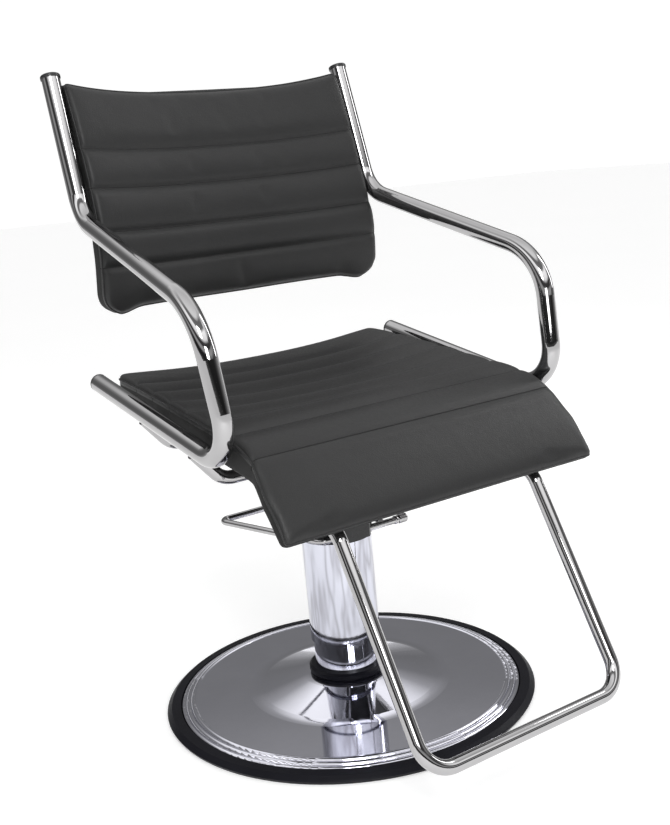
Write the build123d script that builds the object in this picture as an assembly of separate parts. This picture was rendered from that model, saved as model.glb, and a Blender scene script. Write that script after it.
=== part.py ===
from build123d import *
import os
from math import atan2, cos, degrees, radians, sin, sqrt, tan

# Styling chair with a round hydraulic base. Millimetres, +Z up. The origin is on the floor at
# the centre of the base, on the swivel axis. The chair faces -Y, so the sitter's left is +X.
# Each sub-part is one STEP file in parts/, made by its own function below.

# ---------------------------------------------------------------- driving dimensions
# round base
BASE_R = 304.0              # outer radius of the rubber ring on the floor
COVER_R = 280.0             # radius of the chromed cover at its rim
COVER_TOP_Z = 40.0          # height of the cover where it meets the column
COVER_WALL = 2.0
HUB_TOP = (70.0, COVER_TOP_Z)   # r, z where the cover starts to slope down from the column
HUB_FOOT = (157.0, 18.9)        # r, z where that slope meets the flat outer part
HUB_BENDS = (60.0, 90.0)        # radii of the bends at those two places
RIM_GROOVES = ((256.0, 17.5), (264.5, 15.5), (272.5, 12.8), (COVER_R, 9.8))  # r, z of the grooves
RIM_CROWNS = ((261.2, 18.8), (269.5, 16.3), (277.4, 13.2))      # r, z of the beads between them
COVER_FOOT_Z = 8.2          # lower edge of the cover
BALLAST_R = 262.0
BALLAST_T = 10.0
PLATE_BORE_R = 48.0         # bore of the ballast plate, for the barrel's flange
FOOT_PAD_H = 3.0            # thickness of the rubber pad under the barrel
RING_H = 15.0               # height of the rubber ring

# column
SLEEVE_R = 57.0             # outer chromed sleeve, which rises with the seat
SLEEVE_WALL = 3.0
SLEEVE_LOW_Z = 98.0
SLEEVE_TOP_Z = 272.0
CYLINDER_R = 53.0           # fixed chromed guide cylinder inside the sleeve
CYLINDER_WALL = 4.0
CYLINDER_TOP_Z = 258.0
BUFFER_R = 64.0             # rubber buffer ring at the foot of the column
BUFFER_H = 14.0
BARREL_R = 34.0             # hydraulic barrel inside the guide cylinder
BARREL_BORE_R = 26.0
BARREL_FLOOR = 27.0         # thickness of the barrel's closed end
BARREL_TOP_Z = 236.0
RAM_R = 22.0
RAM_TOP_Z = 312.0
RAM_LOW_Z = 44.0
PISTON_H = 18.0
RUNNING = 0.06              # radial clearance of every running fit

# pump head and foot lever
HEAD_R = 59.0
HEAD_TOP_Z = 334.0
PLUNGER_Y, PLUNGER_R = -33.0, 4.5
BOSS_HALF = 27.0            # half length of the boss that carries the lever shaft
SHAFT_Y, SHAFT_Z = -50.0, 284.0
ROD_R = 5.5                 # rod of the lever
LEVER_SHAFT_X = 60.0        # where each arm of the lever leaves the shaft
LEVER_BAR_X, LEVER_BAR_Y = 115.0, 181.0     # half length and place of the foot bar
KNOB_START, KNOB_END, KNOB_R = 84.0, 106.0, 7.5

# side frames, of one bent tube each
TUBE_R, TUBE_WALL = 14.3, 2.0
FRAME_POINTS = (            # half spacing, y and z of each corner of the tube's centre line
    (271.0, 270.0, 1022.0),     # top of the upright
    (274.0, 208.0, 804.0),      # elbow, where the armrest starts
    (302.0, -190.0, 690.0),     # front of the armrest
    (288.0, -222.0, 474.0),     # front of the seat rail
    (288.0, 195.0, 552.0),      # rear end of the seat rail
)
FRAME_BENDS = (70.0, 100.0, 58.0)

# cross members under the seat
CROSS_R, CROSS_WALL = 10.0, 2.0
CROSS_Y = (-98.0, 52.0)     # front one, rear one
CROSS_DROP = 60.0           # from the rail's centre line to the member's centre line
CROSS_FLAT_X = 244.0
CROSS_BEND = 36.0

# seat
SEAT_PITCH = 7.7            # degrees, higher at the rear
SEAT_UNDER_Z = 485.0        # underside of the pad on the swivel axis
BOARD_T = 12.0
BOARD_HALF_X = 232.0
BOARD_Y = (-178.0, 182.0)
SEAT_TOP = (                # top line of the pad at its sides, from the rear to the front lip
    (204.0, 545.0), (196.0, 560.0), (66.0, 550.0), (-51.0, 534.0),
    (-175.0, 517.0), (-226.0, 497.0), (-270.0, 449.0), (-298.0, 412.0),
)
SEAT_LIP = ((-309.0, 391.0), (-300.0, 381.0), (-288.0, 388.0))
SEAT_UNDER = ((-262.0, 424.0), (-228.0, 454.0))
SEAT_PLAN = ((256.0, 206.0), (270.0, -236.0), (278.0, -262.0), (278.0, -312.0))

# backrest
BACK_HALF_X = 255.0
BACK_T = 40.0
BACK_BOW = 28.0             # depth of the hollow across the pad
BACK_LINE = (               # front line of the pad at its sides, from the top down
    (254.0, 1016.0), (215.0, 905.0), (188.0, 800.0), (182.0, 735.0), (194.0, 664.0),
)
BACK_STEP = 15.0            # how far the pad's rear edge steps in, across and in depth
SHELL_T = 5.0
SHELL_HALF_X = 230.0
SHELL_Z = (690.0, 1000.0)
LUG_Z = (880.0, 970.0)      # heights of the lugs that hold the back to the uprights
LUG_T, LUG_H = 5.0, 34.0
LUG_GAP = 0.4               # gap between lug and shell

# footrest
FOOT_R, FOOT_WALL = 10.2, 1.6
FOOT_HALF_X = 177.0
FOOT_KNEE_Y = -275.4        # where each leg bends back under the seat
FOOT_BAR = (-436.0, 92.0)   # y, z of the bar
FOOT_BEND = 42.0
FOOT_KNEE = 36.0
FOOT_REAR_Y = 72.0          # rear end of the two arms under the seat
FOOT_ARM_DROP = 20.7        # from a cross member's centre line to an arm's centre line
HANGER_X, HANGER_Y = 24.0, 22.0

# mounting plate between the pump head and the cross members
PLATE_HALF_X, PLATE_T = 100.0, 8.0
SOCKET_R, SOCKET_BORE_R = 36.0, 24.0


# ---------------------------------------------------------------- helpers
def save(shape, name):
    """Write one sub-part as parts/NAME.step."""
    export_step(shape, f"parts/{name}.step")


def ring(outer, inner, low, high):
    """A round ring about the swivel axis."""
    face = Pos(0, 0, low) * (Circle(outer) - Circle(inner))
    return extrude(face, amount=high - low)


def disc(radius, low, high):
    return extrude(Pos(0, 0, low) * Circle(radius), amount=high - low)


def tube(points, bends, outer, wall=0.0):
    """A bent tube, or a rod when wall is 0, along straight runs joined by tangent arcs."""
    path = FilletPolyline(*points, radius=list(bends)) if bends else Line(*points)
    start = Plane(origin=path @ 0, z_dir=path % 0)
    section = Circle(outer) - Circle(outer - wall) if wall else Circle(outer)
    return sweep(start * section, path=path)


def along_x(radius, x0, x1, y, z):
    """A round bar parallel to X."""
    face = Plane(origin=(x0, y, z), z_dir=(1, 0, 0)) * Circle(radius)
    return extrude(face, amount=x1 - x0)


def upright_bolt(x, y, z, head_r, head_h, shank_r, shank_h):
    """A bolt with its hexagon head upwards and its seat at z."""
    head = extrude(Pos(x, y, z) * RegularPolygon(head_r, 6), amount=head_h)
    shank = extrude(Pos(x, y, z) * Circle(shank_r), amount=-shank_h)
    return head + shank


def seat_place(y, drop):
    """A place on the tilted seat plane at depth y, this far below the pad's underside."""
    surface = Location((0, y, SEAT_UNDER_Z + y * tan(radians(SEAT_PITCH))), (SEAT_PITCH, 0, 0))
    return surface * Pos(0, 0, -drop)


def rail_z(y):
    """Height of the seat rail's centre line at depth y."""
    (_, y0, z0), (_, y1, z1) = FRAME_POINTS[3], FRAME_POINTS[4]
    return z0 + (z1 - z0) * (y - y0) / (y1 - y0)


# ---------------------------------------------------------------- base
def base_rubber_ring():
    bottom_r, lip_r = BASE_R - 3, COVER_R + 1
    section = make_face(Polyline(
        (BALLAST_R + 1, 0), (bottom_r, 0), (BASE_R, 5), (BASE_R - 2, RING_H - 8),
        (BASE_R - 8, RING_H - 3), (lip_r, RING_H - 2), (lip_r, 8), (BALLAST_R + 1, 8),
        (BALLAST_R + 1, 0)))
    return revolve(Plane.XZ * section, Axis.Z)


def base_cover():
    """The spun cover: a shallow cone round the column, a flat outer part and three beads."""
    top_edge = cover_line((CYLINDER_R + 0.5, COVER_TOP_Z), 0.0)
    grooves = zip(RIM_GROOVES, RIM_CROWNS, RIM_GROOVES[1:])
    beads = [ThreePointArc(start, crown, end) for start, crown, end in grooves]
    skirt = [RIM_GROOVES[-1], (COVER_R, COVER_FOOT_Z), (COVER_R - COVER_WALL, COVER_FOOT_Z)]
    inside = [(r - 2.2, z - 1.4) for r, z in reversed(RIM_GROOVES[1:])]
    under_start = (RIM_GROOVES[0][0], RIM_GROOVES[0][1] - COVER_WALL)
    turn_in = Polyline(*skirt, *inside, under_start)
    under_edge = cover_line((CYLINDER_R + 0.5, COVER_TOP_Z - COVER_WALL), COVER_WALL)
    close = Line((CYLINDER_R + 0.5, COVER_TOP_Z - COVER_WALL), (CYLINDER_R + 0.5, COVER_TOP_Z))
    section = make_face([top_edge, *beads, turn_in, under_edge, close])
    return revolve(Plane.XZ * section, Axis.Z)


def cover_line(start, drop):
    """The cover's line from the column out to the rim, this far below its top surface."""
    corners = [(r, z - drop) for r, z in (HUB_TOP, HUB_FOOT, RIM_GROOVES[0])]
    return FilletPolyline(start, *corners, radius=list(HUB_BENDS))


def ballast_plate():
    """The heavy plate, with a bore for the barrel and six holes for the flange's bolts."""
    holes = [Pos(x, y, 0) * Cylinder(5.0, 100) for x, y in flange_bolt_places()]
    return ring(BALLAST_R, PLATE_BORE_R, 1, 1 + BALLAST_T) - holes


def guide_cylinder():
    """The fixed chromed cylinder on its welded flange."""
    wall = ring(CYLINDER_R, CYLINDER_R - CYLINDER_WALL, 1 + BALLAST_T, CYLINDER_TOP_Z)
    flange = ring(CYLINDER_R + 34, CYLINDER_R - CYLINDER_WALL, 1 + BALLAST_T, 19 + BALLAST_T)
    holes = [Pos(x, y, 0) * Cylinder(5.2, 100) for x, y in flange_bolt_places()]
    return (wall + flange) - holes


def flange_bolt_places():
    return [(loc.position.X, loc.position.Y) for loc in PolarLocations(CYLINDER_R + 20, 6)]


def flange_bolts():
    """Six bolts that hold the cylinder's flange to the ballast plate."""
    top = 19 + BALLAST_T
    return Compound([upright_bolt(x, y, top, 8, 5, 5, 17) for x, y in flange_bolt_places()])


def buffer_ring():
    """The rubber ring at the foot of the column, which the sleeve's rim comes down towards."""
    low, high = COVER_TOP_Z, COVER_TOP_Z + BUFFER_H
    section = make_face(Polyline(
        (CYLINDER_R, low + 0.2), (BUFFER_R - 4, low + 0.2), (BUFFER_R, low + 5),
        (BUFFER_R, high - 3), (BUFFER_R - 4, high), (CYLINDER_R, high), (CYLINDER_R, low + 0.2)))
    return revolve(Plane.XZ * section, Axis.Z)


def barrel():
    """The oil barrel, closed at its foot, whose flange sits in the ballast plate's bore."""
    outside = disc(BARREL_R, FOOT_PAD_H, BARREL_TOP_Z) + disc(PLATE_BORE_R, FOOT_PAD_H, 1 + BALLAST_T)
    return outside - disc(BARREL_BORE_R, FOOT_PAD_H + BARREL_FLOOR, BARREL_TOP_Z)


def centre_foot():
    """The rubber pad under the barrel, level with the ring on the floor."""
    return disc(PLATE_BORE_R - 2, 0, FOOT_PAD_H)


def gland_nut():
    """The screwed ring that closes the barrel and guides the ram."""
    spigot = ring(BARREL_BORE_R, RAM_R + RUNNING, BARREL_TOP_Z - 16, BARREL_TOP_Z)
    cap = ring(BARREL_R, RAM_R + RUNNING, BARREL_TOP_Z, BARREL_TOP_Z + 10)
    return spigot + cap


# ---------------------------------------------------------------- ram
def ram():
    return disc(RAM_R, RAM_LOW_Z + PISTON_H, RAM_TOP_Z)


def piston():
    body = disc(BARREL_BORE_R - RUNNING, RAM_LOW_Z, RAM_LOW_Z + PISTON_H)
    middle = RAM_LOW_Z + PISTON_H / 2
    return body - ring(BARREL_BORE_R + 1, BARREL_BORE_R - 3, middle - 2, middle + 2)


def piston_seal():
    middle = RAM_LOW_Z + PISTON_H / 2
    return ring(BARREL_BORE_R - RUNNING, BARREL_BORE_R - 3, middle - 2, middle + 2)


def thrust_bearing():
    """The flat bearing on the ram's end that carries the seat and lets it swivel."""
    return disc(RAM_R - 1, RAM_TOP_Z, RAM_TOP_Z + 5)


# ---------------------------------------------------------------- column and pump head
def column_sleeve():
    return ring(SLEEVE_R, SLEEVE_R - SLEEVE_WALL, SLEEVE_LOW_Z, SLEEVE_TOP_Z)


def sleeve_guide():
    """The nylon ring inside the sleeve's foot that runs on the fixed cylinder."""
    return ring(SLEEVE_R - SLEEVE_WALL, CYLINDER_R + RUNNING, SLEEVE_LOW_Z + 2, SLEEVE_LOW_Z + 22)


def pump_head():
    """The black casting on the sleeve: bearing housing, oil pump and lever boss."""
    body = disc(HEAD_R, SLEEVE_TOP_Z, HEAD_TOP_Z)
    boss_depth = HEAD_R + 8
    boss = Pos(0, -boss_depth / 2, (SLEEVE_TOP_Z + 5 + HEAD_TOP_Z - 8) / 2) * Box(
        2 * BOSS_HALF, boss_depth, HEAD_TOP_Z - SLEEVE_TOP_Z - 13)
    boss = chamfer(boss.edges().filter_by(Axis.Z).group_by(Axis.Y)[0], 7)
    shaft_bore = along_x(ROD_R + RUNNING, -HEAD_R, HEAD_R, SHAFT_Y, SHAFT_Z)
    side_gaps = [Pos(side * (BOSS_HALF + 20), SHAFT_Y, SHAFT_Z) * Box(40, 26, 24.5) for side in (-1, 1)]
    ram_bore = disc(RAM_R + RUNNING, SLEEVE_TOP_Z, RAM_TOP_Z + 5.3)
    plunger_bore = Pos(0, PLUNGER_Y, 0) * disc(PLUNGER_R + RUNNING, SLEEVE_TOP_Z, HEAD_TOP_Z - 8)
    finger_slot = Pos(0, SHAFT_Y + 12, SHAFT_Z - 1) * Box(9, 25, 22)
    screw_holes = [Pos(x, y, HEAD_TOP_Z) * Cylinder(4.0, 26) for x, y in socket_screw_places()]
    return (body + boss) - shaft_bore - side_gaps - ram_bore - plunger_bore - finger_slot - screw_holes


def head_screws():
    """Four screws that hold the seat socket's flange to the pump head."""
    return Compound([upright_bolt(x, y, HEAD_TOP_Z + 8, 6.5, 6, 4, 20) for x, y in socket_screw_places()])


def socket_screw_places():
    return [(loc.position.X, loc.position.Y) for loc in PolarLocations(47, 4, 45)]


# ---------------------------------------------------------------- foot lever
def pump_lever():
    """One rod bent into a bail round the column, with its shaft in the pump head's boss."""
    inset = 14.0
    loop_points = [
        (-BOSS_HALF - 1, SHAFT_Y, SHAFT_Z), (-LEVER_SHAFT_X, SHAFT_Y, SHAFT_Z),
        (-LEVER_BAR_X, LEVER_BAR_Y, SHAFT_Z), (LEVER_BAR_X, LEVER_BAR_Y, SHAFT_Z),
        (LEVER_SHAFT_X, SHAFT_Y, SHAFT_Z), (BOSS_HALF + 1, SHAFT_Y, SHAFT_Z),
    ]
    loop = tube(loop_points, (inset, inset, inset, inset), ROD_R)
    shaft = along_x(ROD_R, -BOSS_HALF - 2, BOSS_HALF + 2, SHAFT_Y, SHAFT_Z)
    stub = along_x(ROD_R, LEVER_SHAFT_X - 22, KNOB_START + 4, SHAFT_Y, SHAFT_Z)
    finger = Pos(0, SHAFT_Y + 9, SHAFT_Z) * Box(7, 18, 6)
    return loop + shaft + stub + finger


def lever_knob():
    """The knurled end nut on the right-hand end of the lever's shaft."""
    grip = extrude(Plane(origin=(KNOB_START + 4, SHAFT_Y, SHAFT_Z), z_dir=(1, 0, 0))
                   * Circle(KNOB_R), amount=KNOB_END - KNOB_START - 4)
    grip = chamfer(grip.edges().filter_by(GeomType.CIRCLE), 1.5)
    collar = along_x(ROD_R + 1.2, KNOB_START - 3, KNOB_START + 4, SHAFT_Y, SHAFT_Z)
    collar -= along_x(ROD_R, KNOB_START - 3, KNOB_START + 4, SHAFT_Y, SHAFT_Z)
    return grip + collar


def pump_plunger():
    """The oil pump's plunger above the lever's finger."""
    return Pos(0, PLUNGER_Y, 0) * disc(PLUNGER_R, SHAFT_Z + 3.4, HEAD_TOP_Z - 16)


# ---------------------------------------------------------------- seat support
def cross_place(y):
    return rail_z(y) - CROSS_DROP


def cross_member(y):
    """A tube bowed down from one seat rail to the other."""
    low, high = cross_place(y), rail_z(y) - TUBE_R + 1
    end_x = FRAME_POINTS[3][0] - 4
    points = [(-end_x, y, high), (-CROSS_FLAT_X, y, low), (CROSS_FLAT_X, y, low), (end_x, y, high)]
    member = tube(points, (CROSS_BEND, CROSS_BEND), CROSS_R, CROSS_WALL)
    for side in (-1, 1):
        member -= rail_stretch(side)
    return member - bolt_holes()


def rail_stretch(side):
    """The solid space that one seat rail fills, for trimming what is welded to it."""
    ends = [(side * x, y, z) for x, y, z in FRAME_POINTS[3:]]
    return tube(ends, (), TUBE_R)


def plate_tilt():
    """The tilt of the plane under both cross members, in degrees."""
    return degrees(atan2(cross_place(CROSS_Y[1]) - cross_place(CROSS_Y[0]), CROSS_Y[1] - CROSS_Y[0]))


def plate_location(drop):
    """A place under the cross members' middle, this far below their undersides."""
    middle = sum(CROSS_Y) / 2
    axis_plane = Location((0, middle, cross_place(middle)), (plate_tilt(), 0, 0))
    return axis_plane * Pos(0, 0, -CROSS_R - drop)


def plate_bolt_places():
    reach = (CROSS_Y[1] - CROSS_Y[0]) / 2 / cos(radians(plate_tilt()))
    return [(x, y) for x in (-72.0, 72.0) for y in (-reach, reach)]


def seat_mount_plate():
    depth = CROSS_Y[1] - CROSS_Y[0] + 44
    plate = plate_location(PLATE_T / 2) * Box(2 * PLATE_HALF_X, depth, PLATE_T)
    holes = [plate_location(0) * Pos(x, y, 0) * Cylinder(4.2, 60) for x, y in plate_bolt_places()]
    return plate - holes


def seat_socket():
    """The flanged post that carries the mounting plate on the pump head."""
    flange = disc(HEAD_R - 3, HEAD_TOP_Z, HEAD_TOP_Z + 8)
    post = disc(SOCKET_R, HEAD_TOP_Z, HEAD_TOP_Z + 100)
    above = plate_location(PLATE_T - 60) * Box(400, 400, 120)
    bore = disc(SOCKET_BORE_R, HEAD_TOP_Z, HEAD_TOP_Z + 120)
    holes = [Pos(x, y, HEAD_TOP_Z) * Cylinder(4.2, 60) for x, y in socket_screw_places()]
    return (flange + post) - above - bore - holes


def bolt_holes():
    """The four tilted holes through plate, cross members, spacers and board."""
    return [plate_location(0) * Pos(x, y, 0) * Cylinder(4.2, 160) for x, y in plate_bolt_places()]


def seat_bolts():
    """Four bolts from below the plate, through the cross members, into the board."""
    bolts = []
    for x, y in plate_bolt_places():
        at = plate_location(PLATE_T) * Pos(x, y, 0)
        head = extrude(at * RegularPolygon(7.5, 6), amount=-5.5)
        shank = extrude(at * Circle(4), amount=PLATE_T + 2 * CROSS_R + 16)
        bolts.append(head + shank)
    return Compound(bolts)


def seat_spacers():
    """Four blocks that fill the gap between each cross member and the board."""
    blocks = []
    for x, y in plate_bolt_places():
        block = plate_location(-2 * CROSS_R - 4) * Pos(x, y, 0) * Box(56, 26, 50)
        blocks.append(block)
    blocks = [block - seat_place(0, BOARD_T - 100) * Box(600, 600, 200) for block in blocks]
    blocks = [block - plate_location(18) * Box(600, 600, 2 * 18 + 2 * CROSS_R) for block in blocks]
    for y in CROSS_Y:
        blocks = [block - along_x(CROSS_R, -200, 200, y, cross_place(y)) for block in blocks]
    return Compound([block - bolt_holes() for block in blocks])


def seat_board():
    """The plywood board under the pad, with rounded corners."""
    length = (BOARD_Y[1] - BOARD_Y[0]) / cos(radians(SEAT_PITCH))
    middle = sum(BOARD_Y) / 2
    outline = RectangleRounded(2 * BOARD_HALF_X, length, 30)
    board = extrude(seat_place(middle, BOARD_T) * outline, amount=BOARD_T)
    return board - bolt_holes()


def seat_pad():
    """The upholstered seat, which rolls down over the board's front edge."""
    under_rear = (SEAT_TOP[0][0], SEAT_UNDER_Z + SEAT_TOP[0][0] * tan(radians(SEAT_PITCH)))
    under_front = (SEAT_UNDER[1][0] + 8, SEAT_UNDER_Z + (SEAT_UNDER[1][0] + 8) * tan(radians(SEAT_PITCH)))
    outline = [*SEAT_TOP, *SEAT_LIP, *SEAT_UNDER, under_front, under_rear, SEAT_TOP[0]]
    slab = extrude(Plane.YZ * make_face(Polyline(*outline)), amount=SEAT_PLAN[-1][0] + 10, both=True)
    left = [(-x, y) for x, y in reversed(SEAT_PLAN)]
    plan = extrude(make_face(Polyline(*SEAT_PLAN, *left, SEAT_PLAN[0])), amount=900)
    corner = Rot(0, 45, 0) * Box(100, 400, 100)
    cut_x = SEAT_PLAN[0][0] - 8 + 50 * sqrt(2)
    low_edges = [seat_place(0, 0) * Pos(side * cut_x, 0, 0) * corner for side in (-1, 1)]
    return (slab & plan) - low_edges


# ---------------------------------------------------------------- side frames
def side_frame(side):
    points = [(side * x, y, z) for x, y, z in FRAME_POINTS]
    return tube(points, FRAME_BENDS, TUBE_R, TUBE_WALL)


def end_plug(tip, inner_point, flange_r, flange_h):
    """A plug in a tube's end, with a flange outside and a spigot inside."""
    outwards = (Vector(*tip) - Vector(*inner_point)).normalized()
    plane = Plane(origin=tip, z_dir=outwards)
    flange = extrude(plane * Circle(flange_r), amount=flange_h)
    flange = fillet(flange.edges().filter_by(GeomType.CIRCLE).sort_by(
        lambda edge: (edge.center() - Vector(*tip)).length)[-1], flange_h * 0.45)
    spigot = extrude(plane * Circle(TUBE_R - TUBE_WALL - 0.1), amount=-16)
    return flange + spigot


def top_plug(side):
    points = [(side * x, y, z) for x, y, z in FRAME_POINTS]
    return end_plug(points[0], points[1], TUBE_R + 1.4, 6)


def rail_plug(side):
    points = [(side * x, y, z) for x, y, z in FRAME_POINTS]
    return end_plug(points[-1], points[-2], TUBE_R, 5)


# ---------------------------------------------------------------- backrest
def bow_radius():
    """Radius of the hollow across the backrest."""
    return (BACK_HALF_X ** 2 + BACK_BOW ** 2) / (2 * BACK_BOW)


def bow_axis_y():
    """Depth of the upright axis that the backrest is turned about."""
    return BACK_LINE[2][0] + BACK_BOW - bow_radius()


def back_band(front_edge, back, half_x, low, high):
    """A slab from this front edge to the back's line moved back, hollowed across its width."""
    back_edge = Polyline(*[(y + BACK_BOW + back, z) for y, z in BACK_LINE])
    outline = make_face(front_edge + back_edge + Line(front_edge @ 0, back_edge @ 0)
                        + Line(front_edge @ 1, back_edge @ 1))
    axis = Axis((0, bow_axis_y(), 0), (0, 0, 1))
    turn = degrees(BACK_HALF_X / bow_radius()) + 3
    slab = revolve((Plane.YZ * outline).rotate(axis, -turn), axis, 2 * turn)
    window = Pos(0, 230, (low + high) / 2) * Box(2 * half_x, 400, high - low)
    return slab & window


def flat_back_edge(back):
    """The back's line as straight stretches, moved this far back."""
    return Polyline(*[(y + BACK_BOW + back, z) for y, z in BACK_LINE])


def back_pad():
    """The upholstered back, narrower behind so that its rear corners clear the lugs."""
    front_edge = Spline(*[(y + BACK_BOW, z) for y, z in BACK_LINE])
    front_layer = back_band(front_edge, BACK_T - BACK_STEP, BACK_HALF_X, 600, 1100)
    rear_layer = back_band(flat_back_edge(BACK_T - BACK_STEP), BACK_T, BACK_HALF_X - BACK_STEP, 600, 1100)
    return front_layer + rear_layer


def back_shell():
    """The moulded panel behind the pad that carries its foam."""
    shell = back_band(flat_back_edge(BACK_T), BACK_T + SHELL_T, SHELL_HALF_X, *SHELL_Z)
    return shell - [bolt_stretch(side, z, 3.1, -30, 20) for side in (-1, 1) for z in LUG_Z]


def lug_frame(z):
    """A plane that leans with the shell at height z, its origin on the back's line."""
    (y1, z1), (y0, z0) = next(pair for pair in zip(BACK_LINE, BACK_LINE[1:]) if pair[1][1] <= z)
    lean = (y1 - y0) / (z1 - z0)
    return Plane(origin=(0, y0 + lean * (z - z0), z), x_dir=(1, 0, 0), z_dir=(0, lean, 1))


def shell_back(x, frame):
    """Depth of the shell's rear face in a lug's plane, at this distance from the middle."""
    radius = frame.origin.Y + BACK_BOW + BACK_T + SHELL_T - bow_axis_y()
    return (bow_axis_y() + sqrt(radius ** 2 - x ** 2) - frame.origin.Y) * frame.z_dir.Z


def upright_place(z):
    """Depth of the upright's centre line at height z."""
    (_, y1, z1), (_, y0, z0) = FRAME_POINTS[:2]
    return y0 + (y1 - y0) * (z - z0) / (z1 - z0)


def lug_line(side, z):
    """The lug's middle line: behind the upright, then in, then along the shell's rear face."""
    frame = lug_frame(z)
    upright_y = (upright_place(z) - frame.origin.Y) * frame.z_dir.Z + TUBE_R + LUG_T / 2
    bend_x, end_x = SHELL_HALF_X + 5, SHELL_HALF_X - 30
    gap = LUG_T / 2 + LUG_GAP
    return frame, [
        (side * (FRAME_POINTS[0][0] + 6), upright_y),
        (side * bend_x, shell_back(bend_x, frame) + gap),
        (side * end_x, shell_back(end_x, frame) + gap),
    ]


def back_lugs(side):
    """Two bent flat lugs welded to an upright, that lie behind the shell."""
    lugs = []
    for z in LUG_Z:
        frame, points = lug_line(side, z)
        lug = extrude(frame * trace(Polyline(*points), LUG_T), amount=LUG_H / 2, both=True)
        lugs.append(lug - upright_stretch(side) - bolt_stretch(side, z, 3.1, -30, 20))
    return Compound(lugs)


def upright_stretch(side):
    """The solid space that one upright fills, for trimming what is welded to it."""
    ends = [(side * x, y, z) for x, y, z in FRAME_POINTS[:2]]
    return tube(ends, (), TUBE_R)


def back_bolts():
    """Four bolts through the lugs into the shell."""
    bolts = []
    for side in (-1, 1):
        for z in LUG_Z:
            head = bolt_stretch(side, z, 6.5, 5, LUG_T / 2)
            bolts.append(head + bolt_stretch(side, z, 3, -LUG_T - SHELL_T + 0.5, LUG_T / 2))
    return Compound(bolts)


def bolt_stretch(side, z, radius, length, start):
    """A round stretch along a back bolt, from this far behind the lug's middle line."""
    frame, (_, bend, end) = lug_line(side, z)
    place = frame.from_local_coords(Vector(*[(3 * e + 2 * b) / 5 for e, b in zip(end, bend)], 0))
    inwards = frame.from_local_coords(Vector(*end, 0)) - frame.from_local_coords(Vector(*bend, 0))
    outwards = inwards.cross(frame.z_dir).normalized()
    outwards = outwards if outwards.Y > 0 else outwards * -1
    return extrude(Plane(origin=place + outwards * start, z_dir=outwards) * Circle(radius), amount=length)


# ---------------------------------------------------------------- footrest
def arm_z(y):
    """Height of the footrest's arms at depth y: they pass just under both cross members."""
    return cross_place(y) - FOOT_ARM_DROP


def footrest():
    """One tube: two arms under the seat, two legs and the bar between them."""
    half = [(FOOT_REAR_Y, arm_z(FOOT_REAR_Y)), (FOOT_KNEE_Y, arm_z(FOOT_KNEE_Y)), FOOT_BAR]
    points = [(-FOOT_HALF_X, y, z) for y, z in half] + [(FOOT_HALF_X, y, z) for y, z in reversed(half)]
    return tube(points, (FOOT_KNEE, FOOT_BEND, FOOT_BEND, FOOT_KNEE), FOOT_R, FOOT_WALL)


def footrest_hangers():
    """Four saddle blocks between the footrest's two arms and the cross members."""
    blocks = []
    for x in (-FOOT_HALF_X, FOOT_HALF_X):
        arm = tube([(x, y, arm_z(y)) for y in (CROSS_Y[0] - 40, CROSS_Y[1] + 40)], (), FOOT_R)
        for y in CROSS_Y:
            middle = (cross_place(y) + arm_z(y)) / 2
            block = Pos(x, y, middle) * Box(HANGER_X, HANGER_Y, FOOT_ARM_DROP)
            blocks.append(block - along_x(CROSS_R, x - 30, x + 30, y, cross_place(y)) - arm)
    return Compound(blocks)


def main():
    os.makedirs("parts", exist_ok=True)
    single = (
        base_rubber_ring, base_cover, ballast_plate, centre_foot, guide_cylinder, flange_bolts,
        buffer_ring, barrel, gland_nut, ram, piston, piston_seal, thrust_bearing, column_sleeve,
        sleeve_guide, pump_head, head_screws, pump_lever, lever_knob, pump_plunger, seat_mount_plate, seat_socket,
        seat_bolts, seat_spacers, seat_board, seat_pad, back_pad, back_shell, back_bolts,
        footrest, footrest_hangers,
    )
    for make in single:
        save(make(), make.__name__)
    save(cross_member(CROSS_Y[0]), "front_cross_member")
    save(cross_member(CROSS_Y[1]), "rear_cross_member")
    for side, word in ((-1, "right"), (1, "left")):
        save(side_frame(side), f"{word}_side_frame")
        save(top_plug(side), f"{word}_upright_plug")
        save(rail_plug(side), f"{word}_rail_plug")
        save(back_lugs(side), f"{word}_back_lugs")


if __name__ == "__main__":
    main()
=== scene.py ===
"""Styling chair: the looks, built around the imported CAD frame. Metres, Z up, the chair faces -Y."""
import math

import bpy
import numpy as np
from mathutils import Matrix, Vector


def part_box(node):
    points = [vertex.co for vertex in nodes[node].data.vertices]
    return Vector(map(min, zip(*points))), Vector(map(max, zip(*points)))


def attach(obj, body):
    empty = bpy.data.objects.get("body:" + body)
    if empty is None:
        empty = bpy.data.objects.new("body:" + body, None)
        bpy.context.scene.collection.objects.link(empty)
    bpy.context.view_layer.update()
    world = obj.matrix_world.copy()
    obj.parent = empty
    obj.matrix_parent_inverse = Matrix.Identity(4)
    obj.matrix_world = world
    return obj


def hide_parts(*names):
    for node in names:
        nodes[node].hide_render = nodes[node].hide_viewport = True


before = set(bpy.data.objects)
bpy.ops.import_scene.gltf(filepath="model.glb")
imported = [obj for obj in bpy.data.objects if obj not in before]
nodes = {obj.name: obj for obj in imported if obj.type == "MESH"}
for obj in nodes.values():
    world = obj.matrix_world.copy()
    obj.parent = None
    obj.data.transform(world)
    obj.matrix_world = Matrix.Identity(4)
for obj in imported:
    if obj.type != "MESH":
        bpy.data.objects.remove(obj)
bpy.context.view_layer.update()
scene = bpy.context.scene


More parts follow.
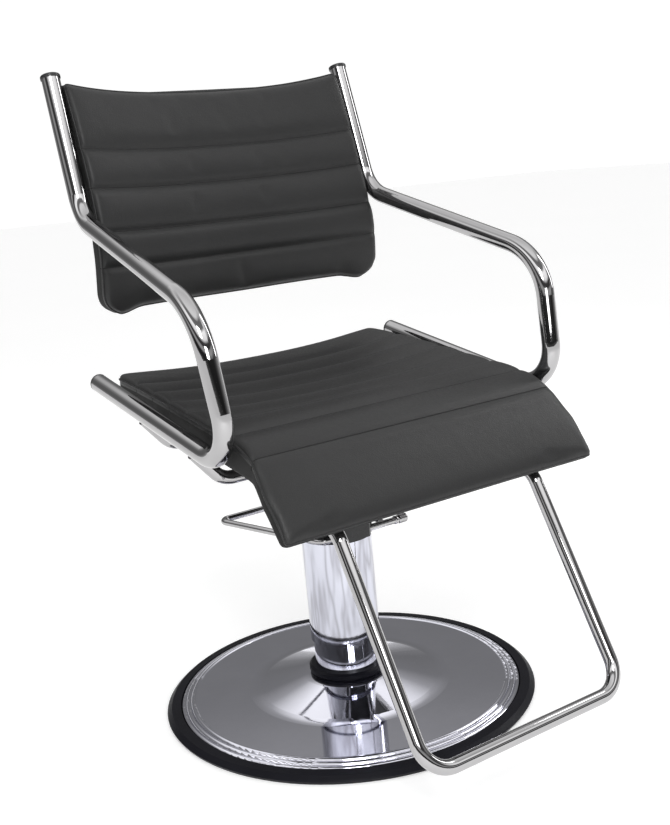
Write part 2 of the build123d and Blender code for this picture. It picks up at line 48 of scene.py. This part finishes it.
# ---------------------------------------------------------------- camera
def aim_camera(place, azimuth, pitch, roll, lens):
    """A camera at place, turned by these angles in degrees, that looks along +Y when all are 0."""
    a, p, r = (math.radians(v) for v in (azimuth, pitch, roll))
    forward = Vector((-math.sin(a) * math.cos(p), math.cos(a) * math.cos(p), -math.sin(p)))
    right = Vector((math.cos(a), math.sin(a), 0.0))
    up = right.cross(forward)
    across = right * math.cos(r) + up * math.sin(r)
    above = up * math.cos(r) - right * math.sin(r)
    data = bpy.data.cameras.new("camera")
    data.sensor_width = 36.0
    data.lens = lens
    data.clip_end = 200.0
    camera = bpy.data.objects.new("camera", data)
    turn = Matrix((across, above, -forward)).transposed().to_4x4()
    camera.matrix_world = Matrix.Translation(place) @ turn
    scene.collection.objects.link(camera)
    scene.camera = camera


aim_camera(place=(-0.958, -1.483, 0.850), azimuth=-33.39, pitch=12.10, roll=-5.26, lens=49.75)


# ---------------------------------------------------------------- node helpers
class Nodes:
    """A small writer of node trees."""

    def __init__(self, tree):
        self.tree = tree
        tree.nodes.clear()

    def add(self, kind, links=None, **settings):
        node = self.tree.nodes.new(kind)
        inputs = settings.pop("inputs", {})
        for key, value in settings.items():
            setattr(node, key, value)
        for key, value in inputs.items():
            node.inputs[key].default_value = value
        for key, socket in (links or {}).items():
            self.tree.links.new(socket, node.inputs[key])
        return node

    def ramp(self, source, *stops, interpolation="LINEAR"):
        """A colour ramp of (place, colour or grey level) stops."""
        node = self.add("ShaderNodeValToRGB", {"Fac": source})
        ramp = node.color_ramp
        ramp.interpolation = interpolation
        while len(ramp.elements) < len(stops):
            ramp.elements.new(0.5)
        for element, (place, colour) in zip(ramp.elements, stops):
            element.position = place
            colour = colour if isinstance(colour, tuple) else (colour,) * 3
            element.color = (*colour, 1.0)
        return node.outputs["Color"]

    def noise(self, coords, scale, detail=3.0, rough=0.5, stretch=None):
        if stretch:
            coords = self.add("ShaderNodeMapping", {"Vector": coords}, inputs={"Scale": stretch}).outputs[0]
        return self.add("ShaderNodeTexNoise", {"Vector": coords},
                        inputs={"Scale": scale, "Detail": detail, "Roughness": rough}).outputs["Fac"]

    def remap(self, source, low, high, from_low=0.3, from_high=0.7):
        return self.add("ShaderNodeMapRange", {"Value": source}, inputs={
            "From Min": from_low, "From Max": from_high, "To Min": low, "To Max": high}).outputs[0]

    def bump(self, height, depth, strength=1.0, below=None):
        """A bump whose full height is depth metres."""
        links = {"Height": height}
        if below:
            links["Normal"] = below
        return self.add("ShaderNodeBump", links, inputs={"Distance": depth, "Strength": strength}).outputs[0]


def new_material(name):
    """A material with its node writer and its object coordinates, in metres."""
    material = bpy.data.materials.new(name)
    material.use_nodes = True
    n = Nodes(material.node_tree)
    coords = n.add("ShaderNodeTexCoord").outputs["Object"]
    return material, n, coords


def close(n, constants, links):
    """The Principled shader and the output."""
    shader = n.add("ShaderNodeBsdfPrincipled", links, inputs=constants)
    n.add("ShaderNodeOutputMaterial", {"Surface": shader.outputs[0]})


# ---------------------------------------------------------------- materials
SMUDGE_DULLING = 0.93       # share of the tint that is left where chrome is smudged


def chrome(name, tint, rough_low=0.03, rough_high=0.08, wave=0.0, reflection_streak_tint=None):
    """Polished chrome plate with faint smudges, and painted reflections as upright darker streaks if a streak tint
    is given.
    """
    material, n, at = new_material(name)
    smudge = n.noise(at, 14.0, 4.0, 0.55)
    fine = n.noise(at, 240.0, 2.0)
    dull = tuple(c * SMUDGE_DULLING for c in tint)
    colour = n.ramp(smudge, (0.35, tint), (0.75, dull))
    if reflection_streak_tint:
        # painted reflections: upright streaks darken the chrome's colour
        reflection_streak_noise = n.noise(at, 4.0, 2.0, 0.5, (11.0, 11.0, 1.8))
        colour = n.ramp(reflection_streak_noise, (0.38, tint), (0.48, dull), (0.58, reflection_streak_tint), (0.68, dull))
    rough = n.remap(smudge, rough_low, rough_high, 0.35, 0.75)
    normal = n.bump(fine, 0.00001)
    if wave:
        normal = n.bump(n.noise(at, 5.0, 1.0), wave, below=normal)
    close(n, {"Metallic": 1.0}, {"Base Color": colour, "Roughness": rough, "Normal": normal})
    return material


def vinyl():
    """Charcoal upholstery vinyl with a fine leather grain."""
    material, n, at = new_material("charcoal_vinyl")
    drift = n.noise(at, 9.0, 3.0, 0.5)
    cells = n.add("ShaderNodeTexVoronoi", {"Vector": at}, feature="SMOOTH_F1",
                  inputs={"Scale": 620.0, "Smoothness": 0.35, "Randomness": 1.0}).outputs["Distance"]
    creases = n.noise(at, 260.0, 3.0, 0.6)
    soft = n.noise(at, 34.0, 2.0, 0.5)
    colour = n.ramp(drift, (0.3, (0.0150, 0.0150, 0.0153)), (0.7, (0.0175, 0.0175, 0.0178)))
    rough = n.remap(creases, 0.40, 0.52)
    normal = n.bump(soft, 0.0006)
    normal = n.bump(creases, 0.00012, below=normal)
    normal = n.bump(cells, 0.00016, below=normal)
    close(n, {"Specular IOR Level": 0.38, "Sheen Weight": 0.03, "Sheen Roughness": 0.5},
          {"Base Color": colour, "Roughness": rough, "Normal": normal})
    return material


def plain(name, light, dark, rough_low, rough_high, grain, depth, metallic=0.0, stretch=None, patch=11.0,
          glow=0.0, shine=0.5):
    """A material whose colour drifts between two tones, with a fine grain in its surface."""
    material, n, at = new_material(name)
    drift = n.noise(at, patch, 4.0, 0.55, stretch)
    fine = n.noise(at, grain, 4.0, 0.6, stretch)
    colour = n.ramp(drift, (0.35, dark), (0.7, light))
    rough = n.remap(fine, rough_low, rough_high)
    close(n, {"Metallic": metallic, "Emission Strength": glow, "Specular IOR Level": shine},
          {"Base Color": colour, "Roughness": rough, "Normal": n.bump(fine, depth)})
    return material


# Chrome tints as painted light: one plating, darkened on the tubes and brightened and blued on the base and column
# to how bright each looks
tube_chrome = chrome("tube_chrome", (0.46, 0.455, 0.46))
base_chrome = chrome("base_chrome", (0.80, 0.80, 0.88), rough_low=0.04, rough_high=0.10)
# the column's darker upright streaks are painted reflections
column_chrome = chrome("column_chrome", (0.66, 0.67, 0.75), rough_high=0.07, wave=0.0012,
                       reflection_streak_tint=(0.42, 0.42, 0.47))
charcoal_vinyl = vinyl()
black_rubber = plain("black_rubber", (0.006, 0.006, 0.010), (0.003, 0.003, 0.006), 0.34, 0.50, 420.0, 0.00010,
                     shine=0.14)
black_plastic = plain("black_plastic", (0.016, 0.016, 0.017), (0.011, 0.011, 0.012), 0.28, 0.42, 900.0, 0.00004)
black_enamel = plain("black_enamel", (0.018, 0.018, 0.019), (0.010, 0.010, 0.011), 0.25, 0.45, 160.0, 0.00012)
white_nylon = plain("white_nylon", (0.62, 0.61, 0.57), (0.52, 0.51, 0.47), 0.40, 0.55, 300.0, 0.00004)
zinc_steel = plain("zinc_steel", (0.62, 0.62, 0.60), (0.50, 0.50, 0.48), 0.24, 0.40, 240.0, 0.00004, 1.0)
ground_steel = plain("ground_steel", (0.60, 0.60, 0.61), (0.50, 0.50, 0.52), 0.12, 0.22, 200.0, 0.00002, 1.0,
                     (1.0, 1.0, 14.0))
cast_iron = plain("cast_iron", (0.055, 0.052, 0.050), (0.030, 0.029, 0.028), 0.55, 0.8, 260.0, 0.0003, 0.6)
brass = plain("brass", (0.70, 0.52, 0.24), (0.58, 0.41, 0.18), 0.2, 0.34, 240.0, 0.00003, 1.0)
stained_board = plain("stained_board", (0.016, 0.015, 0.015), (0.009, 0.009, 0.009), 0.5, 0.7, 70.0, 0.0002,
                      stretch=(1.0, 9.0, 30.0), patch=30.0)
# black lining, also painted shade: it darkens the pads' lower side walls and makes the seams' dark cords
black_lining_and_shade = plain("black_lining_and_shade", (0.010, 0.010, 0.010), (0.006, 0.006, 0.006), 0.75, 0.95, 1500.0, 0.0002)

FINISH_OF_SLOT = {
    "vinyl": charcoal_vinyl, "rubber": black_rubber, "black_plastic": black_plastic, "black_metal": black_enamel,
    "nylon": white_nylon, "zinc_steel": zinc_steel, "steel": ground_steel, "brass": brass,
    "cast_iron": cast_iron, "board": stained_board, "chrome": tube_chrome,
}
FINISH_OF_NODE = {"base_cover": base_chrome, "column_sleeve": column_chrome, "guide_cylinder": column_chrome}


def dress_cad_nodes():
    """Every CAD node gets the procedural material of its slot, or its own where it has one."""
    for name, node in nodes.items():
        slot = node.material_slots[0].material.name.split(".")[0]
        finish = FINISH_OF_NODE.get(name, FINISH_OF_SLOT.get(slot, zinc_steel))
        for place in node.material_slots:
            place.material = finish


dress_cad_nodes()


# ---------------------------------------------------------------- mesh helpers
def new_piece(name, places, faces, finish, body):
    """A smooth-shaded mesh that rides on a CAD body."""
    mesh = bpy.data.meshes.new(name)
    mesh.from_pydata([tuple(p) for p in places], [], faces)
    mesh.polygons.foreach_set("use_smooth", [True] * len(mesh.polygons))
    mesh.materials.append(finish)
    mesh.update()
    piece = bpy.data.objects.new(name, mesh)
    scene.collection.objects.link(piece)
    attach(piece, body)
    return piece


def subdivide(piece, levels=1):
    modifier = piece.modifiers.new("smooth", "SUBSURF")
    modifier.levels = modifier.render_levels = levels


def tube_along(points, radius, sides=8, closed=False):
    """Places and faces of a round cord along a run of points."""
    points = np.array(points)
    ahead = np.roll(points, -1, 0) - points
    behind = points - np.roll(points, 1, 0)
    if not closed:
        ahead[-1], behind[0] = behind[-1], ahead[0]
    along = ahead + behind
    along /= np.linalg.norm(along, axis=1)[:, None]
    side = np.cross(along, np.where(np.abs(along[:, 2:]) < 0.9, (0.0, 0.0, 1.0), (1.0, 0.0, 0.0)))
    side /= np.linalg.norm(side, axis=1)[:, None]
    other = np.cross(along, side)
    places = []
    for centre, a, b in zip(points, side, other):
        for k in range(sides):
            turn = 2 * math.pi * k / sides
            places.append(centre + radius * (math.cos(turn) * a + math.sin(turn) * b))
    last = len(points) if closed else len(points) - 1
    faces = []
    for i in range(last):
        here, there = i * sides, (i + 1) % len(points) * sides
        for k in range(sides):
            nxt = (k + 1) % sides
            faces.append((here + k, here + nxt, there + nxt, there + k))
    if not closed:
        faces += [tuple(range(sides))[::-1], tuple(len(places) - sides + k for k in range(sides))]
    return places, faces


# ---------------------------------------------------------------- pads
PAD_PITCH = 0.0062          # spacing of a pad's rows, in metres
SEAM_LIP = 0.0025           # from a seam to the close row on each side of it
GROOVE_HALF = 0.0028        # half width of a seam's groove
PAD_LAYERS = 8              # layers of the lattice through a pad's thickness
BLACK_WALL_LAYERS = 5            # highest layer of the side walls that the black lining covers; on the walls it is painted shade
SEAM_START_LAYER = 4        # layer of the side walls where a seam starts
HELD_SHARE = 0.35           # share of the thickness, from the underside, that the simulation holds
PIPING_LAYER = PAD_LAYERS - 2
PIPING_RADIUS = 0.0016


def smooth_line(points, count):
    """count points along a smooth curve through rows of numbers, even along its first two columns."""
    points = np.array(points, float)
    steps = np.r_[0.0, np.cumsum(np.linalg.norm(np.diff(points[:, :2], axis=0), axis=1))]
    slopes = np.gradient(points, steps, axis=0)
    at = np.linspace(0.0, steps[-1], count)
    cell = np.clip(np.searchsorted(steps, at, side="right") - 1, 0, len(steps) - 2)
    width = (steps[cell + 1] - steps[cell])[:, None]
    t = (at[:, None] - steps[cell][:, None]) / width
    a, b = points[cell], points[cell + 1]
    return (a * (2 * t ** 3 - 3 * t ** 2 + 1) + b * (3 * t ** 2 - 2 * t ** 3)
            + width * (slopes[cell] * (t ** 3 - 2 * t ** 2 + t) + slopes[cell + 1] * (t ** 3 - t ** 2)))


def rows_with_seams(length, seams, pitch, lip):
    """Places along a pad, with a close row each side of every seam, and the seams' row numbers."""
    rows, seam_rows, start = [], [], 0.0
    for seam in [*seams, length + lip]:
        stop = seam - lip
        count = max(3, int(round((stop - start) / pitch)) + 1)
        rows += list(np.linspace(start, stop, count))
        if seam < length:
            seam_rows.append(len(rows))
            rows.append(seam)
        start = seam + lip
    return np.array(rows), seam_rows


class Lattice:
    """The skin of a box lattice of rows x columns x layers, as vertices and quads."""

    def __init__(self, rows, columns, layers):
        ends = (rows - 1, columns - 1, layers - 1)
        skin = [(i, j, k) for i in range(rows) for j in range(columns) for k in range(layers)
                if i in (0, ends[0]) or j in (0, ends[1]) or k in (0, ends[2])]
        self.number = {cell: n for n, cell in enumerate(skin)}
        self.cells = np.array(skin)
        self.quads = []
        for fixed in range(3):
            a, b = [axis for axis in range(3) if axis != fixed]
            for level, flip in ((0, fixed != 1), (ends[fixed], fixed == 1)):
                for u in range(ends[a]):
                    for v in range(ends[b]):
                        ring = []
                        for du, dv in ((0, 0), (1, 0), (1, 1), (0, 1)):
                            cell = [0, 0, 0]
                            cell[fixed], cell[a], cell[b] = level, u + du, v + dv
                            ring.append(self.number[tuple(cell)])
                        self.quads.append(ring[::-1] if flip else ring)


class Pad:
    """An upholstered pad: a rounded box bent between two lines, with sewn channels across it."""

    def __init__(self, lines, half_widths, round_r, seam_places, column, puff, groove, reach):
        """seam_places are in a column of lines; puff is the crowns' height and groove the seams' depth."""
        self.lines = smooth_line(np.array(lines) / 1000.0, 600)
        steps = np.linalg.norm(np.diff(self.lines[:, :2], axis=0), axis=1)
        self.steps = np.r_[0.0, np.cumsum(steps)]
        self.length = self.steps[-1]
        self.half_widths = np.array(half_widths) / 1000.0
        self.round_r, self.puff, self.groove, self.reach = round_r, puff, groove, reach
        order = np.argsort(self.lines[:, column])
        sought = np.array(seam_places) / 1000.0
        self.seams = np.interp(sought, self.lines[order, column], self.steps[order])
        self.rows, self.seam_rows = rows_with_seams(self.length, self.seams, PAD_PITCH, SEAM_LIP)
        widest = 2 * self.half_widths[:, 1].max()
        self.across = np.linspace(-1.0, 1.0, int(widest / (1.1 * PAD_PITCH)) + 1)
        self.lattice = Lattice(len(self.rows), len(self.across), PAD_LAYERS)

    def swell(self, s):
        """Height of the channels' crowns: none at a seam, full beyond the reach of both seams."""
        edges = np.r_[-self.length, self.seams, 2 * self.length]
        cell = np.clip(np.searchsorted(edges, s, side="right") - 1, 0, len(edges) - 2)
        after, before = s - edges[cell], edges[cell + 1] - s
        crown = self.puff
        for gap, reach in zip((after, before), self.reach):
            crown = crown * (1 - (1 - np.clip(gap / reach, 0.0, 1.0)) ** 2.4)
        return crown - self.groove * np.exp(-(np.minimum(after, before) / GROOVE_HALF) ** 2)

    def places(self, finish):
        """Vertex places. finish(x, y, z, s, share) returns the last two of them modelled further."""
        i, j, k = self.lattice.cells.T
        s, up_share = self.rows[i], k / (PAD_LAYERS - 1)
        half = np.interp(s, self.half_widths[:, 0], self.half_widths[:, 1])
        line = [np.interp(s, self.steps, self.lines[:, c]) for c in range(4)]
        thick = np.hypot(line[0] - line[2], line[1] - line[3])
        r = np.minimum(self.round_r, 0.46 * thick)
        sharp = np.stack([self.across[j] * half, s, up_share * thick])
        low = np.stack([r - half, r, r])
        high = np.stack([half - r, self.length - r, thick - r])
        core = np.clip(sharp, low, high)
        away = sharp - core
        outward = away / np.maximum(np.linalg.norm(away, axis=0), 1e-9)
        top_share = np.clip(up_share * 2.5 - 0.4, 0.0, 1.0)
        x, s, up = core + outward * r
        up = up + self.swell(s) * top_share * np.clip(outward[2], 0.0, 1.0)
        share = up / thick
        line = [np.interp(s, self.steps, self.lines[:, c]) for c in range(4)]
        y = line[2] + (line[0] - line[2]) * share
        z = line[3] + (line[1] - line[3]) * share
        self.up_share = up_share
        return np.stack([x, *finish(x, y, z, s, share)], axis=1)

    def row_places(self, row, places):
        """Places along one seam on the padded side, from one side wall over to the other."""
        last_j, last_k = len(self.across) - 1, PAD_LAYERS - 1
        wall = range(SEAM_START_LAYER, last_k)
        cells = [(row, 0, k) for k in wall] + [(row, j, last_k) for j in range(last_j + 1)]
        cells += [(row, last_j, k) for k in reversed(wall)]
        return places[[self.lattice.number[cell] for cell in cells]]

    def rim_places(self, layer, places):
        """Places once round the pad's side wall at one layer."""
        last_i, last_j = len(self.rows) - 1, len(self.across) - 1
        ring = [(0, j) for j in range(last_j)] + [(i, last_j) for i in range(last_i)]
        ring += [(last_i, j) for j in range(last_j, 0, -1)] + [(i, 0) for i in range(last_i, 0, -1)]
        return places[[self.lattice.number[i, j, layer] for i, j in ring]]


def inflate(piece, pinned, cap, frames=20):
    """Cloth with air pressure inside, held at the pinned vertices; no vertex moves further than cap."""
    rest = np.array([v.co for v in piece.data.vertices])
    group = piece.vertex_groups.new(name="sewn")
    group.add([int(n) for n in np.flatnonzero(pinned)], 1.0, "REPLACE")
    cloth = piece.modifiers.new("cloth", "CLOTH")
    settings = cloth.settings
    settings.quality = 5
    settings.mass = 0.25
    settings.tension_stiffness = settings.compression_stiffness = 12.0
    settings.shear_stiffness = 6.0
    settings.bending_stiffness = 4.0
    settings.use_pressure = True
    settings.uniform_pressure_force = 4.0
    settings.vertex_group_mass = "sewn"
    settings.effector_weights.gravity = 0.0
    cloth.point_cache.frame_end = frames
    for number in range(1, frames + 1):
        scene.frame_set(number)
    shown = piece.evaluated_get(bpy.context.evaluated_depsgraph_get())
    moved = np.array([v.co for v in shown.data.vertices]) - rest
    piece.modifiers.remove(cloth)
    scene.frame_set(1)
    size = np.maximum(np.linalg.norm(moved, axis=1), 1e-9)[:, None]
    final = rest + moved / size * cap * np.tanh(size / cap)
    piece.data.vertices.foreach_set("co", final.ravel())
    piece.data.update()


def final_places(piece):
    return np.array([v.co for v in piece.data.vertices])


def stitches(name, runs, body, pitch, length, radius, sides=6):
    """Thread stitches laid along runs of points, each a short tapered bead."""
    end_share = 0.35        # radius of a stitch's ends
    places, faces = [], []
    for run in runs:
        steps = np.r_[0.0, np.cumsum(np.linalg.norm(np.diff(run, axis=0), axis=1))]
        centres = np.arange(pitch, steps[-1] - pitch, pitch)
        for centre in centres:
            ends = [[np.interp(centre + half, steps, run[:, c]) for c in range(3)]
                    for half in (-length / 2, -length * 0.32, length * 0.32, length / 2)]
            ring, skin = tube_along(ends, radius, sides)
            ring = np.array(ring)
            for end in (0, -1):
                block = slice(0, sides) if end == 0 else slice(len(ring) - sides, len(ring))
                ring[block] = ring[block].mean(0) + end_share * (ring[block] - ring[block].mean(0))
            faces += [tuple(n + len(places) for n in face) for face in skin]
            places += list(ring)
    new_piece(name, places, faces, charcoal_thread, body)


def fade(value, start, stop):
    t = np.clip((value - start) / (stop - start), 0.0, 1.0)
    return t * t * (3 - 2 * t)


SEAT_LINES = (          # y, z of the top and of the underside, from the rear to the front lip, in mm
    (205, 559, 205, 514), (130, 554, 130, 504), (66, 547.5, 66, 495), (8, 540, 8, 487), (-51, 532, -51, 479),
    (-113, 524, -113, 471), (-175, 514.5, -171, 463), (-205, 505.5, -200, 459), (-226, 494, -222, 454),
    (-248, 470.5, -241, 442), (-271, 445.5, -257, 428), (-297, 411, -279, 401), (-308, 392, -291, 385),
)
# distance along the pad from its rear or top end, and half width there, in mm
SEAT_HALF_WIDTHS = ((0, 246), (6, 252), (20, 255), (250, 261), (440, 267), (500, 275), (640, 275))
# y of the seat's seams and z of the back's, in mm
SEAT_SEAMS = (124, 66, 8, -51, -113, -174, -228)
BACK_LINES = (          # y, z of the front face and of the rear face at the sides, from the top down
    (256, 1014, 291, 1014), (236, 963, 273, 963), (217, 905, 255, 905), (202, 852, 240, 852),
    (190, 800, 228, 800), (184, 735, 222, 735), (188, 700, 226, 700), (196, 662, 232, 662),
)
BACK_HALF_WIDTHS = ((0, 256), (60, 256), (165, 256), (235, 258), (258, 261), (335, 263), (345, 260), (352, 254),
                    (357, 247), (362, 240))
BACK_SEAMS = (913, 852, 784, 729)


def seat_finish(x, y, z, s, share):
    """The seat's dish: deepest under the thighs, gone at the front panel."""
    across = np.clip(1 - np.abs(x / 0.262) ** 2.4, 0.0, 1.0)
    deep = 0.015 * fade(y, -0.150, 0.010) - 0.003 * fade(y, 0.090, 0.200)
    drift = 0.008 * (x / 0.262) ** 2 * fade(y, -0.190, -0.080)
    return y + drift * share, z - deep * across * share


def back_finish(x, y, z, s, share):
    """The back's hollow across, and the sag of its edge and seams towards the middle."""
    across = np.clip(1 - np.abs(x / 0.255) ** 2.6, 0.0, 1.0)
    sag = np.interp(s, (0.0, 0.11, 0.175, 0.37), (0.0175, 0.0095, 0.0075, 0.003))
    ears = 0.008 * fade(np.abs(x), 0.190, 0.232) * fade(s, 0.300, 0.360)
    return y + 0.028 * (1 - (x / 0.255) ** 2), z - sag * across - ears


def make_pad(name, node, pad, finish, body, cap, seam_shade_radii):
    """A pad that stands for its CAD node, with stitches, piping and a black cord in each seam as painted seam
    shade.
    """
    piece = new_piece(name, pad.places(finish), pad.lattice.quads, charcoal_vinyl, body)
    sewn = np.isin(pad.lattice.cells[:, 0], pad.seam_rows) | (pad.up_share < HELD_SHARE)
    inflate(piece, sewn, cap)
    places = final_places(piece)
    subdivide(piece)
    # the underside and the lower side walls turn black; on the walls this is painted shade
    piece.data.materials.append(black_lining_and_shade)
    black_faces = [all(pad.lattice.cells[v][2] <= BLACK_WALL_LAYERS for v in quad) for quad in pad.lattice.quads]
    piece.data.polygons.foreach_set("material_index", [int(x) for x in black_faces])
    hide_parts(node)
    runs = [pad.row_places(row, places) for row in pad.seam_rows]
    stitches(name + "_stitches", runs, body, pitch=0.0052, length=0.0036, radius=0.00045)
    # black cords sunk along the seams: painted shade of each seam
    for number, (run, radius) in enumerate(zip(runs, seam_shade_radii), 1):
        cord, skin = tube_along(run, radius)
        subdivide(new_piece(f"{name}_seam_shade_{number}", cord, skin, black_lining_and_shade, body))
    rim, skin = tube_along(pad.rim_places(PIPING_LAYER, places), PIPING_RADIUS, closed=True)
    subdivide(new_piece(name + "_piping", rim, skin, charcoal_vinyl, body))


charcoal_thread = plain("charcoal_thread", (0.040, 0.040, 0.041), (0.028, 0.028, 0.029), 0.6, 0.8, 1800.0, 0.00008)

# the last argument sets how wide each seam's painted shade shows, as black cords
seat_shape = Pad(SEAT_LINES, SEAT_HALF_WIDTHS, 0.009, SEAT_SEAMS, column=0,
                 puff=0.0022, groove=0.0016, reach=(0.026, 0.030))
make_pad("seat_cushion", "seat_pad", seat_shape, seat_finish, "chair", cap=0.0020,
         seam_shade_radii=(0.0004, 0.0004, 0.0004, 0.0004, 0.0004, 0.0008, 0.0012))
back_shape = Pad(BACK_LINES, BACK_HALF_WIDTHS, 0.008, BACK_SEAMS, column=1,
                 puff=0.0048, groove=0.0026, reach=(0.011, 0.019))
make_pad("back_cushion", "back_pad", back_shape, back_finish, "chair", cap=0.0030,
         seam_shade_radii=(0.0014, 0.0018, 0.0018, 0.0014))


# ---------------------------------------------------------------- knurled knob
def make_knob():
    """The lever's knurled end nut: a collar, a crossed knurl and a domed end."""
    low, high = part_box("lever_knob")
    axis_y, axis_z = (low.y + high.y) / 2, (low.z + high.z) / 2
    outer = (high.z - low.z) / 2
    length = high.x - low.x
    profile = [(0.0, 0.80), (0.04, 0.90), (0.26, 0.90), (0.28, 0.78), (0.31, 0.78), (0.34, 0.97)]
    profile += [(0.34 + 0.56 * n / 14, 1.0) for n in range(1, 15)] + [(0.93, 0.94), (0.97, 0.80), (1.0, 0.45)]
    knurled = range(6, 20)      # rings of the profile that the knurl cuts
    knurl_depth = 0.0004
    sides = 72
    places = []
    for n, (along, share) in enumerate(profile):
        for k in range(sides):
            cut = n in knurled and ((k + n) % 3 == 0 or (k - n) % 3 == 0)
            radius = outer * share - (knurl_depth if cut else 0.0)
            turn = 2 * math.pi * k / sides
            places.append((low.x + along * length,
                           axis_y + radius * math.cos(turn), axis_z + radius * math.sin(turn)))
    faces = [(i * sides + k, i * sides + (k + 1) % sides, (i + 1) * sides + (k + 1) % sides, (i + 1) * sides + k)
             for i in range(len(profile) - 1) for k in range(sides)]
    faces += [tuple(range(sides))[::-1], tuple((len(profile) - 1) * sides + k for k in range(sides))]
    knob = new_piece("lever_end_nut", places, faces, tube_chrome, "pump_lever")
    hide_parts("lever_knob")


make_knob()


# ---------------------------------------------------------------- floor, world and lights
def make_floor():
    bpy.ops.mesh.primitive_plane_add(size=60.0, location=(0.0, 0.0, 0.0))
    floor = bpy.context.object
    floor.name = "floor"
    pale_floor = plain("pale_floor", (0.93, 0.93, 0.93), (0.91, 0.91, 0.91), 0.75, 0.85, 30.0, 0.0001,
                       patch=0.7, glow=0.27)
    floor.data.materials.append(pale_floor)


def make_world():
    """Soft surroundings for the reflections, banded in front of the chair and plainer grey behind it."""
    world = bpy.data.worlds.new("studio")
    scene.world = world
    world.use_nodes = True
    n = Nodes(world.node_tree)
    direction = n.add("ShaderNodeTexCoord").outputs["Generated"]
    height = n.add("ShaderNodeSeparateXYZ", {"Vector": direction}).outputs["Z"]
    behind = n.add("ShaderNodeVectorMath", {0: direction}, operation="DOT_PRODUCT")
    behind.inputs[1].default_value = (0.55, 0.835, 0.0)
    rear = n.ramp(height, (0.0, 0.50), (0.10, 0.22), (0.20, 0.17), (0.44, 0.20), (0.56, 0.36),
                  (0.72, 1.1), (1.0, 0.9))
    front = n.ramp(height, (0.0, 0.10), (0.06, 0.02), (0.16, 0.04), (0.22, 0.55), (0.30, 0.50), (0.34, 0.06),
                   (0.44, 0.08), (0.52, 1.5), (0.66, 1.9), (0.72, 0.30), (0.84, 0.25), (0.90, 1.3), (1.0, 1.3))
    side = n.remap(behind.outputs["Value"], 0.0, 1.0, -0.30, 0.35)
    around = n.add("ShaderNodeMix", {"Factor": side}, data_type="RGBA")
    n.tree.links.new(front, around.inputs[6])
    n.tree.links.new(rear, around.inputs[7])
    lit = n.add("ShaderNodeBackground", {"Color": around.outputs[2]}, inputs={"Strength": 1.0})
    seen = n.add("ShaderNodeBackground", inputs={"Color": (1.0, 1.0, 1.0, 1.0), "Strength": 1.02})
    camera_ray = n.add("ShaderNodeLightPath").outputs["Is Camera Ray"]
    mixed = n.add("ShaderNodeMixShader", {0: camera_ray, 1: lit.outputs[0], 2: seen.outputs[0]})
    n.add("ShaderNodeOutputWorld", {"Surface": mixed.outputs[0]})


def area_light(name, place, target, size, power, tint=(1.0, 1.0, 1.0)):
    data = bpy.data.lights.new(name, "AREA")
    data.shape = "RECTANGLE"
    data.size, data.size_y = size
    data.energy = power
    data.color = tint
    light = bpy.data.objects.new(name, data)
    light.location = place
    light.rotation_euler = (Vector(target) - Vector(place)).to_track_quat("-Z", "Y").to_euler()
    scene.collection.objects.link(light)


make_floor()
make_world()
area_light("key", (-1.6, -2.4, 2.8), (0.0, 0.0, 0.6), (0.9, 0.9), 34.0)
area_light("fill", (-0.9, -2.6, 1.3), (0.0, 0.2, 0.85), (1.0, 0.6), 15.0)
area_light("side", (2.6, -0.6, 1.9), (0.0, 0.0, 0.6), (0.35, 2.2), 18.0)
scene.view_settings.view_transform = "Standard"
